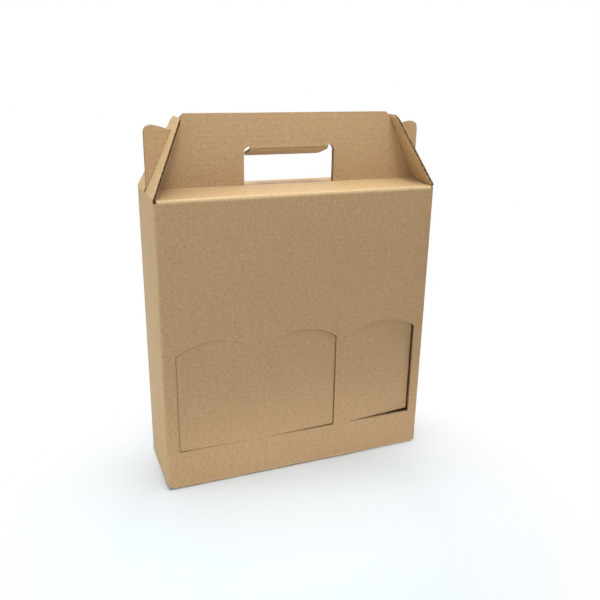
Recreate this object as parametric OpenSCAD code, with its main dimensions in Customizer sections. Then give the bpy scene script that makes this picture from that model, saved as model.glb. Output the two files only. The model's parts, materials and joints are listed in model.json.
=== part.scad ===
// Bottle carrier box: one folded sheet of corrugated board with a carry handle,
// two side flaps that lock over the handle and three window flaps in the front.
// Millimetres, +Z up, front towards -Y, origin on the floor under the middle.

/* [Box] */
// Width over the side panels
box_width = 326; // [310:1:340]
// Depth over the front and back panels
box_depth = 97; // [95:1:115]
// Height of the creases that carry the lock flaps
box_height = 339; // [290:1:400]
// Thickness of the board
board = 3; // [2.5:0.1:3.5]
// Inner radius of a fold
fold_inner = 0.5; // [0.3:0.1:1.5]

/* [Roof and handle] */
// Front and back top creases lie this much below the side creases
crease_drop = 1; // [0:0.1:2]
// Slope of the roof panels in degrees
roof_slope = 4.4; // [3:0.1:7]
// Radius in the corner between roof and handle
ridge_radius = 0.8; // [0.5:0.1:1.5]
// Ears end this far inside the side panels
ear_inset = 1.8; // [0:0.1:6]
// Height of the handle above the side creases
handle_height = 80; // [78:0.5:95]
// Chamfer at the top corners of the handle
handle_chamfer = 4.2; // [2:0.1:6]
// Radius of the outer corner of an ear
ear_corner = 8; // [5:0.5:12]
// Air between the two handle panels
panel_gap = 0.3; // [0.2:0.1:0.5]

/* [Hand hole] */
// Width of the hand hole
hole_width = 108; // [95:1:125]
// Top edge of the hand hole above the side creases
hole_top = 44.4; // [38:0.2:50]
// Radius of the top corners of the hand hole
hole_corner = 6.5; // [4:0.5:9]
// Open width of the hand hole beside each end of the grip flap
grip_end_gap = 7.5; // [7:0.5:15]
// First creased strip of the grip flap
grip_strip = 3; // [2:0.5:9]
// Length of the grip flap past its second crease
grip_length = 26; // [18:1:29]
// Swing of the first strip from hanging straight down
grip_first_angle = 30; // [10:1:35]
// Swing of the rest of the grip flap
grip_second_angle = 73; // [60:1:80]
// Radius of the free corners of the grip flap
grip_corner = 6.5; // [4:0.5:9]
// Air between the front and the back roof in the hand hole
sill_gap = 1.2; // [0.6:0.1:4]

/* [Lock flaps] */
// Lean of the closed flaps towards the handle, in degrees
flap_lean = 25.5; // [22:0.5:28]
// Length of a lock flap from its crease
flap_length = 85.2; // [82:0.2:88]
// Width of a lock flap at its top
flap_top_width = 41; // [36:0.2:60]
// Radius of the top corners of a lock flap
flap_corner = 9; // [5:0.5:12]
// Length of the slot in a lock flap
slot_length = 70.6; // [66:0.2:74]
// Air on each side of the handle in the slot
slot_clearance = 0.5; // [0.3:0.1:1]
// Air between the ear and the end of the slot
ear_clearance = 0.8; // [0.5:0.1:1.5]

/* [Windows] */
// Board left between two windows
strip_width = 18.3; // [14:0.1:24]
// Board left beside the outer windows
window_margin = 14.2; // [12:0.1:20]
// Shift of the row of windows to the right
window_shift = 1; // [-3:0.1:3]
// Bottom cut of the windows above the floor
window_bottom = 47.5; // [35:0.5:70]
// Height at which the arched top begins
window_shoulder = 165.5; // [140:0.5:190]
// Rise of the arched top
window_rise = 13.5; // [8:0.5:20]
// Width of the cut round a window flap
kerf = 0.4; // [0.3:0.1:0.8]
// How far the left window flap stands in, in degrees
left_ajar_angle = 0.4; // [0:0.1:5]
// How far the middle window flap stands in, in degrees
middle_ajar_angle = 1.4; // [0:0.1:5]
// How far the right window flap stands in, in degrees
right_ajar_angle = 3.6; // [0:0.1:5]

/* [Bottom and glue flap] */
// Reach of the front bottom flap past the middle
front_flap_reach = 4; // [0:0.5:8]
// Reach of the side bottom flaps under the box
side_flap_reach = 46; // [35:1:60]
// Reach of the back bottom flap past the middle
back_flap_reach = 25; // [15:1:35]
// Width of the tongue of the front bottom flap
tongue_width = 110; // [80:1:140]
// Length of the tongue
tongue_length = 34; // [26:1:36]
// Rise of the tongue, in degrees
tongue_angle = 17; // [15:0.5:20]
// Air between layers of board
layer_gap = 0.3; // [0.2:0.1:0.5]
// Width of the glue flap
glue_width = 32; // [25:1:45]
// Glue flap ends this far inside the creases
glue_inset = 14; // [8:1:25]

/* [Hidden] */

kraft = [0.72, 0.58, 0.42];
kraft_light = [0.80, 0.67, 0.50];

half_w = box_width / 2;
half_d = box_depth / 2;
fold_radius = fold_inner + board;

// Front top fold, roof line and the corner at the foot of the handle
fold_x = fold_radius - half_w;
fold_y = fold_radius - half_d;
fold_z = box_height - crease_drop - fold_radius;
handle_face = -panel_gap / 2 - board;
ridge_y = handle_face - ridge_radius;
ridge_run = ridge_y - fold_y;
ridge_lift = (fold_radius + ridge_radius + ridge_run * sin(roof_slope)) / cos(roof_slope);
ridge_z = fold_z + ridge_lift;
ridge = [ridge_y, ridge_z];
roof_along = [cos(roof_slope), sin(roof_slope)];
roof_in = [sin(roof_slope), -cos(roof_slope)];
sill_start = ridge + ridge_radius * roof_in;
sill_under = sill_start + board * roof_in;
sill_reach = (-sill_gap / 2 - sill_under[0]) / cos(roof_slope);

// Lock flap, its slot and the ear that passes through it
slot_half = -handle_face + slot_clearance;
flap_start = 0.2;
flap_end_air = 1;
flap_base_half = half_d - flap_end_air;
flap_top_half = flap_top_width / 2;
flap_rise = flap_length - flap_corner;
flap_in = flap_base_half - flap_top_half + flap_corner;
flap_edge_turn = acos(flap_corner / norm([flap_in, flap_rise])) - atan2(flap_rise, flap_in);
ear_radius = slot_length - ear_clearance;
ear_u = ear_inset + ear_corner;
ear_v = sqrt((ear_radius - ear_corner) * (ear_radius - ear_corner) - ear_u * ear_u);
notch_clearance = 0.4;
notch_d = board + notch_clearance;
roof_foot = ridge_z - box_height;
grip_width = hole_width - 2 * grip_end_gap;
roof_end_air = 0.8;
roof_end_inset = board / cos(flap_lean) + roof_foot * tan(flap_lean) + roof_end_air;

// Handle outline, measured inward and upward from the crease of the lock flap
shoulder_v = handle_height - handle_chamfer;
shoulder_s = (shoulder_v + notch_d * sin(flap_lean)) / cos(flap_lean);
shoulder_u = notch_d * cos(flap_lean) + shoulder_s * sin(flap_lean);
ear_turn = atan2(ear_v, ear_u);
notch_turn = 90 - flap_lean - asin(notch_d / ear_radius);

// Windows
inner_depth = box_depth - 2 * board;
swing_air = 2;
window_fit = (box_width - 2 * window_margin - 2 * strip_width) / 3;
window_width = min(window_fit, inner_depth - swing_air);
window_pitch = (box_width - 2 * window_margin - window_width) / 2;
window_top = window_shoulder + window_rise;
arch_half = window_width / 2;
arch_radius = (arch_half * arch_half + window_rise * window_rise) / (2 * window_rise);
wall_back = board - half_d;

// Bottom
back_level = board + layer_gap;
flap_side_air = 1.5;
bottom_half = half_w - board - flap_side_air;
flap_join_air = 1;
side_flap_front = front_flap_reach + flap_join_air;
tongue_y = front_flap_reach - board;
notch_back = tongue_y + (back_level + board + layer_gap) / tan(tongue_angle);
tongue_air = 4;
crease_air = 0.1;
side_top = box_height - crease_air;
seam_step = 0.5;
overlap = 5;
cut = 1;

// Points on an arc, for outlines with rounded corners
function arc(centre, radius, from, to, steps = 12) =
    [for (i = [0:steps])
        let (a = from + (to - from) * i / steps)
            centre + radius * [cos(a), sin(a)]];

// Draws a shape given in depth and height along the width of the box
module along_x(length) {
    translate([-length / 2, 0, 0])
        rotate([90, 0, 90])
            linear_extrude(height = length)
                children();
}

// Draws a shape given in width and height through the depth of the box
module along_y(from, length) {
    translate([0, from + length, 0])
        rotate([90, 0, 0])
            linear_extrude(height = length)
                children();
}

// Outline of a window, standing on the middle of its bottom cut
module window_outline(less = 0) {
    side = arch_half - less;
    crown = [0, window_top - window_bottom - arch_radius];
    turn = acos(side / (arch_radius - less));
    polygon(concat([[-side, less], [side, less]],
                   arc(crown, arch_radius - less, turn, 180 - turn, 32)));
}

// Plan of the four walls; the fold is left out at the glued seam
module wall_plan() {
    outer = concat(arc([fold_x, fold_y], fold_radius, 180, 270),
                   arc([-fold_x, fold_y], fold_radius, 270, 360),
                   arc([-fold_x, -fold_y], fold_radius, 0, 90),
                   [[seam_step - half_w, half_d],
                    [seam_step - half_w, half_d - board],
                    [-half_w, half_d - board]]);
    inner = concat(arc([fold_x, fold_y], fold_inner, 180, 270),
                   arc([-fold_x, fold_y], fold_inner, 270, 360),
                   arc([-fold_x, -fold_y], fold_inner, 0, 90),
                   [[board - half_w, half_d - board]]);
    difference() {
        polygon(outer);
        polygon(inner);
    }
}

// Walls from the bottom folds to the top folds, with the windows cut out
module walls() {
    difference() {
        translate([0, 0, fold_radius])
            linear_extrude(height = fold_z - fold_radius)
                wall_plan();
        along_y(-half_d - cut, board + 2 * cut)
            for (i = [-1:1]) {
                translate([window_shift + i * window_pitch, window_bottom])
                    window_outline();
            }
        translate([fold_x, half_d - board - cut, 0])
            cube([-2 * fold_x, board + 2 * cut, back_level + fold_radius]);
    }
}

// Upper ends of the side panels, up to the creases of the lock flaps
module side_tops() {
    for (x = [-half_w, half_w - board]) {
        translate([x, fold_y, fold_z - overlap])
            cube([board, -2 * fold_y, side_top - fold_z + overlap]);
    }
}

module glue_flap() {
    translate([-half_w, half_d - 2 * board, glue_inset])
        cube([glue_width, board, box_height - 2 * glue_inset]);
}

// Section of the front from the top of its wall over the roof to the given end
module roof_section(end) {
    polygon(concat([[-half_d, fold_z - overlap]],
                   arc([fold_y, fold_z], fold_radius, 180, 90 + roof_slope),
                   end,
                   arc([fold_y, fold_z], fold_inner, 90 + roof_slope, 180),
                   [[board - half_d, fold_z - overlap]]));
}

// End of the roof that folds up into the handle
function ridge_end() =
    concat(arc(ridge, ridge_radius, roof_slope - 90, 0),
           [[handle_face, ridge_z + overlap],
            [handle_face + board, ridge_z + overlap]],
           arc(ridge, ridge_radius + board, 0, roof_slope - 90));

// End of the roof that runs straight on in the hand hole
function sill_end() =
    [sill_start + sill_reach * roof_along,
     sill_under + sill_reach * roof_along];

// Roof panel: narrower towards the handle, clear of the lock flaps
module roof_panel() {
    wing = -fold_x - hole_width / 2;
    difference() {
        union() {
            along_x(hole_width)
                roof_section(sill_end());
            for (side = [-1, 1]) {
                translate([side * (hole_width + wing) / 2, 0, 0])
                    along_x(wing)
                        roof_section(ridge_end());
            }
        }
        for (side = [-1, 1]) {
            translate([0, 0, fold_z])
                linear_extrude(height = handle_height)
                    polygon([[side * -fold_x, fold_y],
                             [side * (half_w - roof_end_inset), handle_face],
                             [side * (half_w - roof_end_inset), cut],
                             [side * half_w, cut],
                             [side * half_w, fold_y]]);
        }
    }
}

// Left half of the handle, from the crease of the lock flap to the middle
function handle_half() =
    concat([[ear_inset, roof_foot]],
           arc([ear_u, ear_v], ear_corner, 180, ear_turn),
           arc([0, 0], ear_radius, ear_turn, notch_turn, 16),
           [[shoulder_u, shoulder_v],
            [shoulder_u + handle_chamfer, handle_height]]);

// Top of the hand hole, from its right foot to its left foot
function hand_hole() =
    let (side = hole_width / 2,
         round_v = hole_top - hole_corner)
        concat([[side, roof_foot]],
               arc([side - hole_corner, round_v], hole_corner, 0, 90),
               arc([hole_corner - side, round_v], hole_corner, 90, 180),
               [[-side, roof_foot]]);

// Front handle panel on its fold, open at the foot of the hand hole
module handle_panel() {
    left = [for (p = handle_half()) p - [half_w, 0]];
    right = [for (i = [len(left) - 1:-1:0]) [-left[i][0], left[i][1]]];
    translate([0, 0, box_height])
        along_y(handle_face, board)
            polygon(concat(left, right, hand_hole()));
}

module upper_half() {
    roof_panel();
    handle_panel();
}

// Section of the grip flap: two creases, swung through to the back
module grip_section() {
    second = grip_strip * [sin(grip_first_angle), -cos(grip_first_angle)];
    run = [sin(grip_second_angle), -cos(grip_second_angle)];
    down = [-cos(grip_second_angle), -sin(grip_second_angle)];
    end = second + (grip_length + overlap) * run;
    polygon(concat([[0, 0], [0, overlap], [-board, overlap]],
                   arc([0, 0], board, 180, 180 + grip_first_angle, 4),
                   arc(second, board, 180 + grip_first_angle, 180 + grip_second_angle, 8),
                   [end + board * down, end, second]));
}

// What is trimmed off round the free end of the grip flap
module grip_trim() {
    side = grip_width / 2;
    straight = grip_length - grip_corner;
    below = grip_length + 2 * overlap;
    polygon(concat([[side + cut, -straight]],
                   arc([side - grip_corner, -straight], grip_corner, 0, -90),
                   arc([grip_corner - side, -straight], grip_corner, -90, -180),
                   [[-side - cut, -straight], [-side - cut, -below], [side + cut, -below]]));
}

// Grip flap of the hand hole
module grip_flap() {
    translate([0, -panel_gap / 2, box_height + hole_top])
        difference() {
            along_x(grip_width)
                grip_section();
            translate([0, grip_strip * sin(grip_first_angle), -grip_strip * cos(grip_first_angle)])
                rotate([grip_second_angle, 0, 0])
                    along_y(-board - cut, board + 2 * cut)
                        grip_trim();
        }
}

// Section through the fold from a wall to its bottom flap, wall on the left
module bottom_fold_section(half_span, reach) {
    turn = [fold_radius - half_span, fold_radius];
    polygon(concat([[-half_span, fold_radius + overlap]],
                   arc(turn, fold_radius, 180, 270),
                   [[reach, 0], [reach, board]],
                   arc(turn, fold_inner, 270, 180),
                   [[board - half_span, fold_radius + overlap]]));
}

// Snap-lock bottom: front flap and side flaps below, notched back flap above
module front_bottom_flap() {
    along_x(2 * bottom_half)
        bottom_fold_section(half_d, front_flap_reach);
    translate([-tongue_width / 2, tongue_y, 0])
        rotate([tongue_angle, 0, 0])
            cube([tongue_width, tongue_length, board]);
}

module side_bottom_flap() {
    back_end = -fold_y - flap_side_air;
    difference() {
        along_y(side_flap_front, back_end - side_flap_front)
            bottom_fold_section(half_w, side_flap_reach - half_w);
        translate([0, 0, -cut])
            linear_extrude(height = fold_radius + cut)
                polygon([[side_flap_reach - half_w, side_flap_front],
                         [side_flap_reach / 2 - half_w, back_end + cut],
                         [side_flap_reach - half_w + cut, back_end + cut]]);
    }
}

module back_bottom_flap() {
    difference() {
        translate([0, 0, back_level])
            mirror([0, 1, 0])
                along_x(2 * bottom_half)
                    bottom_fold_section(half_d, back_flap_reach);
        translate([-tongue_width / 2 - tongue_air, -back_flap_reach - cut, back_level - cut])
            cube([tongue_width + 2 * tongue_air, back_flap_reach + notch_back + cut, board + 2 * cut]);
    }
}

module carton_body() {
    color(kraft) {
        walls();
        side_tops();
        glue_flap();
        upper_half();
        mirror([0, 1, 0])
            upper_half();
        grip_flap();
        front_bottom_flap();
        side_bottom_flap();
        mirror([1, 0, 0])
            side_bottom_flap();
        back_bottom_flap();
    }
}

// Lock flap laid out flat: depth of the box across, length from the crease up
module lock_flap_outline() {
    round_s = flap_length - flap_corner;
    round_y = flap_top_half - flap_corner;
    difference() {
        polygon(concat([[-flap_base_half, -board], [flap_base_half, -board], [flap_base_half, 0]],
                       arc([round_y, round_s], flap_corner, flap_edge_turn, 90),
                       arc([-round_y, round_s], flap_corner, 90, 180 - flap_edge_turn),
                       [[-flap_base_half, 0]]));
        translate([-slot_half, -2 * board])
            square([2 * slot_half, slot_length + 2 * board]);
    }
}

module left_lock_flap() {
    color(kraft_light)
        difference() {
            translate([-half_w, 0, box_height])
                rotate([0, flap_lean, 0])
                    rotate([90, 0, 90])
                        linear_extrude(height = board)
                            lock_flap_outline();
            translate([-half_w - box_depth, -box_depth, box_height + flap_start - box_depth])
                cube([2 * box_depth, 2 * box_depth, box_depth]);
        }
}

module right_lock_flap() {
    mirror([1, 0, 0])
        left_lock_flap();
}

// Window flap hinged at its left edge; the hinge line is the inner face of the panel
module window_flap(ajar) {
    color(kraft_light)
        rotate([0, 0, ajar])
            translate([arch_half, 0, window_bottom])
                along_y(-board, board)
                    window_outline(kerf);
}

module left_window_flap() {
    translate([window_shift - window_pitch + arch_half, wall_back, 0])
        mirror([1, 0, 0])
            window_flap(left_ajar_angle);
}

module middle_window_flap() {
    translate([window_shift - arch_half, wall_back, 0])
        window_flap(middle_ajar_angle);
}

module right_window_flap() {
    translate([window_shift + window_pitch - arch_half, wall_back, 0])
        window_flap(right_ajar_angle);
}

carton_body();
left_lock_flap();
right_lock_flap();
left_window_flap();
middle_window_flap();
right_window_flap();
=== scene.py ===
"""Looks of the bottle carrier box: corrugated board, liners and fluting, folded from its flat sheet."""

import json
import math
from collections import namedtuple

import bpy
import numpy as np
from mathutils import Euler, Matrix, Vector

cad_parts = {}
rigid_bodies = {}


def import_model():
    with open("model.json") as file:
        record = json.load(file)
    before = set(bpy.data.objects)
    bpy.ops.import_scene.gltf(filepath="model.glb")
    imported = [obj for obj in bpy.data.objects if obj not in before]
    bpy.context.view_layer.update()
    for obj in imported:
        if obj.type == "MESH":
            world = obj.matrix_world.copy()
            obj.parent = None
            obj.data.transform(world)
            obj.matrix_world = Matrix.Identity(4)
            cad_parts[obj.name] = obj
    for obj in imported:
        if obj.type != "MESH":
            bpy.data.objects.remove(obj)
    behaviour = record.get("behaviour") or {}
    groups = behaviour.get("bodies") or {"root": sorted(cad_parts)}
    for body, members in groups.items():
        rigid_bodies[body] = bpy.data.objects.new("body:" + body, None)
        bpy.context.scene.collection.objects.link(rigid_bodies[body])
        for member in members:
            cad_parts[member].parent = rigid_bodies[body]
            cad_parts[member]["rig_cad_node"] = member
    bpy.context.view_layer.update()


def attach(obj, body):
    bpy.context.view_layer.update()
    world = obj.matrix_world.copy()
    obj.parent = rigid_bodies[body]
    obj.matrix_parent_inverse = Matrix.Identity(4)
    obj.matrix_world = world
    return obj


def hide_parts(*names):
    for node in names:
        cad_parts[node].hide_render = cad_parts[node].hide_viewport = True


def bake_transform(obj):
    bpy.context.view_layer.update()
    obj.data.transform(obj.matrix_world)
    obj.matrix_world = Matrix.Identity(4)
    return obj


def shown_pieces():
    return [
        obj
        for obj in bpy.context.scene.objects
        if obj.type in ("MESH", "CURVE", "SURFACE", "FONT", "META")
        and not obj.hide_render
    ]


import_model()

MM = 0.001  # metres in a millimetre
RIGHT_ANGLE = math.pi / 2

# Box, in millimetres as in the part's source
HALF_W = 163.0
HALF_D = 48.5
CREASE_Z = 339.0  # height of the creases of the lock flaps
BOARD = 3.0  # thickness of the board
FOLD_R = 3.5  # outer radius of a fold
CREASE_DROP = 1.0  # front and back top creases lie this much lower
FOLD_X = HALF_W - FOLD_R
FOLD_Y = HALF_D - FOLD_R
FOLD_Z = CREASE_Z - CREASE_DROP - FOLD_R

# Roof and handle
ROOF_SLOPE = 4.4
ROOF_END_AIR = 0.8
RIDGE_R = 0.8  # radius between roof and handle
HANDLE_FACE = 3.15  # outer face of a handle panel from the middle of the box
HANDLE_H = 80.0
CHAMFER = 4.2
EAR_INSET = 1.8
EAR_CORNER = 8.0
EAR_R = 69.8  # outer edge of an ear, from the crease of the lock flap
EAR_STEPS = 12
NOTCH_AIR = 0.4

# Hand hole and its grip flap
HOLE_HALF = 54.0
HOLE_TOP = 44.4
HOLE_CORNER = 6.5
SILL_GAP = 1.2  # air between the two roof halves in the hand hole
SILL_CUT = 0.1  # cut at each end of a roof half there
GRIP_HALF = 46.5
GRIP_STRIP = 3.0
GRIP_LENGTH = 26.0
GRIP_CORNER = 6.5
GRIP_FIRST = 30.0  # swing of the first strip, in degrees
GRIP_SECOND = 73.0  # swing of the rest
GRIP_INNER_R = 0.3

# Lock flaps
LOCK_LEAN = 25.5
LOCK_LENGTH = 85.2
LOCK_TOP = 20.5  # half the width at the top
LOCK_BASE = 47.5  # half the width at the crease
LOCK_CORNER = 9.0
LOCK_START = 0.2  # the tapered flap begins this far past the crease
LOCK_BEND = 2.5  # the board bends this far on each side of the crease
LOCK_BEND_END = 3.2  # it is cut finely up to here
LOCK_BEND_STEPS = 13
SLOT_HALF = 3.65
SLOT_LENGTH = 70.6

# Windows: cuts are tight at the hinge and widen to the free edge
WINDOW_W = 87.0
WINDOW_PITCH = 105.3
WINDOW_SHIFT = 1.0
WINDOW_LOW = 47.5
WINDOW_SHOULDER = 165.5
WINDOW_RISE = 13.5
ARCH_STEPS = 28
HINGE_HALF = 1.5  # half the width of the bending board
HINGE_STEPS = 3  # strips on each side of the hinge line
HINGE_GAP = 0.06
FREE_GAP = 0.6
ARCH_GAP = {"left": 0.6, "middle": 1.05, "right": 0.9}
FOOT_GAP = {"left": 0.9, "middle": 0.75, "right": 2.2}
AJAR = {"left": 0.4, "middle": 1.4, "right": 3.6}  # degrees

# Bottom flaps: a reach is measured under the box from the flap's own wall
FLAP_SIDE_AIR = 1.5
BOTTOM_HALF = HALF_W - BOARD - FLAP_SIDE_AIR
FRONT_PAST_MIDDLE = 4.0
FRONT_REACH = HALF_D + FRONT_PAST_MIDDLE
SIDE_NEAR = 5.0
SIDE_FAR = FOLD_Y - FLAP_SIDE_AIR
SIDE_REACH = 46.0
BACK_LEVEL = 3.3  # height of the back flap, which lies on the others
BACK_FOOT = BACK_LEVEL + FOLD_R
BACK_PAST_MIDDLE = 25.0
BACK_REACH = HALF_D + BACK_PAST_MIDDLE
NOTCH_HALF = 59.0
NOTCH_REACH = 25.9
TONGUE_ANGLE = 17.0
TONGUE_HALF = 55.0
TONGUE_LENGTH = 34.0
TONGUE_START = 49.5  # reach at which the tongue bends up
TONGUE_CORNER = 14.0
TONGUE_CUT = 0.4

# Glue flap and seam
SEAM_STEP = 0.5  # the back ends this far inside the left wall's face
GLUE_WIDTH = 32.0
GLUE_INSET = 14.0
GLUE_CUT = 0.3
GLUE_TAPER = 12.0
GLUE_Y = HALF_D - BOARD - FOLD_R

# Corrugated board
LINER = 0.38  # thickness of a liner
MEDIUM = 0.26  # thickness of the fluting
FLUTE_SINK = 0.03  # how deep the waves press into the liners
PITCH = 5.8  # length of one wave
PITCH_STEPS = 8
FOLD_MARGIN = 1.0  # the waves end this far from a wide fold
TIGHT_MARGIN = 0.5  # and this far from a tight one
LOCK_MARGIN = 3.0  # and this far from a lock flap's crease
FOLD_STEPS = 6
CREASE_FADE = 0.8
SHARP_ANGLE = math.radians(28)

Run = namedtuple("Run", "start end point along inward turn side")
UP = (0, 1)
DOWN = (0, -1)
INWARD = (1, 0)
ONWARD = 200.0  # length of a last run that goes on past the end of the board


def straight(length):
    return length, 0, 0


def fold(turn, radius):
    return 0, turn, radius


class Path:
    """A section through the board: straight runs and folds, followed along its outer face."""

    def __init__(self, point, along, inward, runs):
        self.runs = []
        point, along, inward = (np.array(x, float) for x in (point, along, inward))
        start = 0.0
        for length, turn, radius in runs:
            turn = math.radians(turn)
            side = math.copysign(radius, turn)
            if turn:
                length = abs(side - BOARD / 2) * abs(turn)
            self.runs.append(Run(start, start + length, point, along, inward, turn, side))
            start += length
            if turn:
                centre = point + side * inward
                turned = along * math.cos(turn) + inward * math.sin(turn)
                inward = inward * math.cos(turn) - along * math.sin(turn)
                along = turned
                point = centre - side * inward
            else:
                point = point + along * length

    def at(self, distance, depth):
        """(inward, up) at a flat distance along the path and a depth below its outer face."""
        distance, depth = np.broadcast_arrays(np.asarray(distance, float), np.asarray(depth, float))
        found = np.empty(distance.shape + (2,))
        for k, run in enumerate(self.runs):
            here = distance >= run.start if k else np.ones(distance.shape, bool)
            gone = (distance[here] - run.start)[:, None]
            below = depth[here][:, None]
            if run.turn:
                turned = run.turn * gone / (run.end - run.start)
                inward = run.inward * np.cos(turned) - run.along * np.sin(turned)
                found[here] = run.point + run.side * run.inward + (below - run.side) * inward
            else:
                found[here] = run.point + run.along * gone + run.inward * below
        return found

    def levels(self):
        """Flat distances at the ends of every run and at the steps within its folds."""
        found = []
        for run in self.runs:
            steps = max(2, round(abs(run.turn) / RIGHT_ANGLE * FOLD_STEPS)) if run.turn else 1
            found += [run.start + (run.end - run.start) * i / steps for i in range(steps + 1)]
        return found


# Flat sheet: u runs round the walls with the front in the middle, v runs up.
# A placing function takes flat u and v and a depth below the outer face to points of the box.
CORNER = (FOLD_R - BOARD / 2) * RIGHT_ANGLE
RIGHT_U = FOLD_X + CORNER
RIGHT_END = RIGHT_U + 2 * FOLD_Y
BACK_U = RIGHT_END + CORNER
BACK_END = BACK_U + FOLD_X + HALF_W - SEAM_STEP
LEFT_U = -RIGHT_U
LEFT_END = LEFT_U - FOLD_Y - HALF_D + BOARD
GLUE_U = LEFT_U - FOLD_Y - GLUE_Y
GLUE_FLAT_U = GLUE_U - CORNER
GLUE_END = GLUE_FLAT_U - (FOLD_X - HALF_W + GLUE_WIDTH)
GLUE_LOW = GLUE_INSET
GLUE_HIGH = CREASE_Z - GLUE_INSET

# Each wall's middle on the sheet, and whether the box's own axis runs with u there or against it
WALLS = {
    "front": (0.0, 1),
    "right": (RIGHT_U + FOLD_Y, 1),
    "back": (BACK_U + FOLD_X, -1),
    "left": (LEFT_U - FOLD_Y, -1),
}


def flat_u(wall, place):
    """Flat u of a place along a wall."""
    middle, sense = WALLS[wall]
    return middle + sense * place


def place_along(wall, u):
    """Place along a wall, in the box, of a flat u."""
    middle, sense = WALLS[wall]
    return sense * (u - middle)


def stand(wall, place, inward, z):
    """Points of the box at a place along a wall, so far in from its outer face and z up."""
    place, inward, z = np.broadcast_arrays(place, inward, z)
    if wall in ("front", "back"):
        y = inward - HALF_D if wall == "front" else HALF_D - inward
        return np.stack([place, y, z], -1)
    x = inward - HALF_W if wall == "left" else HALF_W - inward
    return np.stack([x, place, z], -1)


def upright(wall):
    """Placing function of a wall."""
    return lambda u, v, depth: stand(wall, place_along(wall, u), depth, v)


def folded(wall, path, start, sense):
    """Placing function of board that leaves a wall at a height for a path, up for 1 and down for -1."""

    def put(u, v, depth):
        spot = path.at(sense * (v - start), depth)
        return stand(wall, place_along(wall, u), spot[..., 0], spot[..., 1])

    return put


def round_corner(centre, first, start):
    """Placing function of an upright fold that begins at a flat u and at a first angle, in degrees."""

    def put(u, v, depth):
        turn = math.radians(first) + (u - start) / CORNER * RIGHT_ANGLE
        radius = FOLD_R - depth
        x = centre[0] + radius * np.cos(turn)
        y = centre[1] + radius * np.sin(turn)
        return np.stack(np.broadcast_arrays(x, y, v), -1)

    return put


def glued(u, v, depth):
    """Placing function of the glue flap, flat against the inside of the back."""
    return np.stack(np.broadcast_arrays(GLUE_FLAT_U - FOLD_X - u, HALF_D - BOARD - depth, v), -1)


# Section over the top of the box: front fold, roof, and handle or sill
ROOF_TURN = 90 - ROOF_SLOPE
slope = math.radians(ROOF_SLOPE)
lean = math.radians(LOCK_LEAN)
RIDGE_IN = HALF_D - HANDLE_FACE - RIDGE_R
RIDGE_Z = FOLD_Z + (FOLD_R + RIDGE_R + (RIDGE_IN - FOLD_R) * math.sin(slope)) / math.cos(slope)
roof_from = np.array([FOLD_R - FOLD_R * math.sin(slope), FOLD_Z + FOLD_R * math.cos(slope)])
roof_to = np.array([RIDGE_IN + RIDGE_R * math.sin(slope), RIDGE_Z - RIDGE_R * math.cos(slope)])
ROOF_RUN = float(np.linalg.norm(roof_to - roof_from))
over_top = Path(
    (0, FOLD_Z), UP, INWARD,
    [fold(ROOF_TURN, FOLD_R), straight(ROOF_RUN), fold(-ROOF_TURN, RIDGE_R), straight(ONWARD)],
)
ROOF_V, RIDGE_V, HANDLE_V = (FOLD_Z + run.end for run in over_top.runs[:3])
SILL = (HALF_D - SILL_GAP / 2 - RIDGE_IN - (RIDGE_R + BOARD) * math.sin(slope)) / math.cos(slope)
over_sill = Path((0, FOLD_Z), UP, INWARD, [fold(ROOF_TURN, FOLD_R), straight(ROOF_RUN + SILL)])

# Half the width of the roof at the handle, clear of the lock flaps, and where the ridge fold begins
ROOF_HALF = HALF_W - BOARD / math.cos(lean) - (RIDGE_Z - CREASE_Z) * math.tan(lean) - ROOF_END_AIR
RIDGE_HALF = FOLD_X + (ROOF_HALF - FOLD_X) * (RIDGE_V - ROOF_V) / (HANDLE_V - ROOF_V)


def handle_v(z):
    """Flat v of a height on the handle."""
    return HANDLE_V + z - RIDGE_Z


# Section of the grip flap, down and back through the hand hole
grip_path = Path(
    (HALF_D - HANDLE_FACE, CREASE_Z + HOLE_TOP), DOWN, INWARD,
    [
        fold(GRIP_FIRST, BOARD + GRIP_INNER_R),
        straight(GRIP_STRIP - GRIP_INNER_R),
        fold(GRIP_SECOND - GRIP_FIRST, BOARD + GRIP_INNER_R),
        straight(GRIP_LENGTH),
    ],
)
GRIP_V = handle_v(CREASE_Z + HOLE_TOP)
GRIP_LOW = GRIP_V - grip_path.runs[-1].end
GRIP_FLAT_V = GRIP_V - grip_path.runs[2].end

# Sections under the box
tongue_ease = FOLD_R * math.tan(math.radians(TONGUE_ANGLE / 2))
under = Path((0, FOLD_R), DOWN, INWARD, [fold(90, FOLD_R), straight(ONWARD)])
under_back = Path((0, BACK_FOOT), DOWN, INWARD, [fold(90, FOLD_R), straight(ONWARD)])
under_tongue = Path(
    (0, FOLD_R), DOWN, INWARD,
    [
        fold(90, FOLD_R),
        straight(TONGUE_START - FOLD_R - tongue_ease),
        fold(TONGUE_ANGLE, FOLD_R),
        straight(TONGUE_LENGTH - tongue_ease),
    ],
)
TONGUE_LOW = FOLD_R - under_tongue.runs[-1].end


def flap_v(reach, foot=FOLD_R):
    """Flat v of a bottom flap at a reach under the box from its wall."""
    return foot - CORNER - (reach - FOLD_R)


def back_flap_v(reach):
    return flap_v(reach, BACK_FOOT)


BEND_V = flap_v(TONGUE_START - tongue_ease)

# Section from a side wall into its lock flap
lock_ease = FOLD_R * math.tan(lean / 2)
LOCK_FOOT = CREASE_Z - LOCK_BEND
lock_path = Path(
    (0, LOCK_FOOT), UP, INWARD,
    [straight(CREASE_Z - lock_ease - LOCK_FOOT), fold(LOCK_LEAN, FOLD_R), straight(ONWARD)],
)


def lock_v(length):
    """Flat v of a lock flap at a length from its crease."""
    return LOCK_FOOT + lock_path.runs[1].end + length - lock_ease


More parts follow.
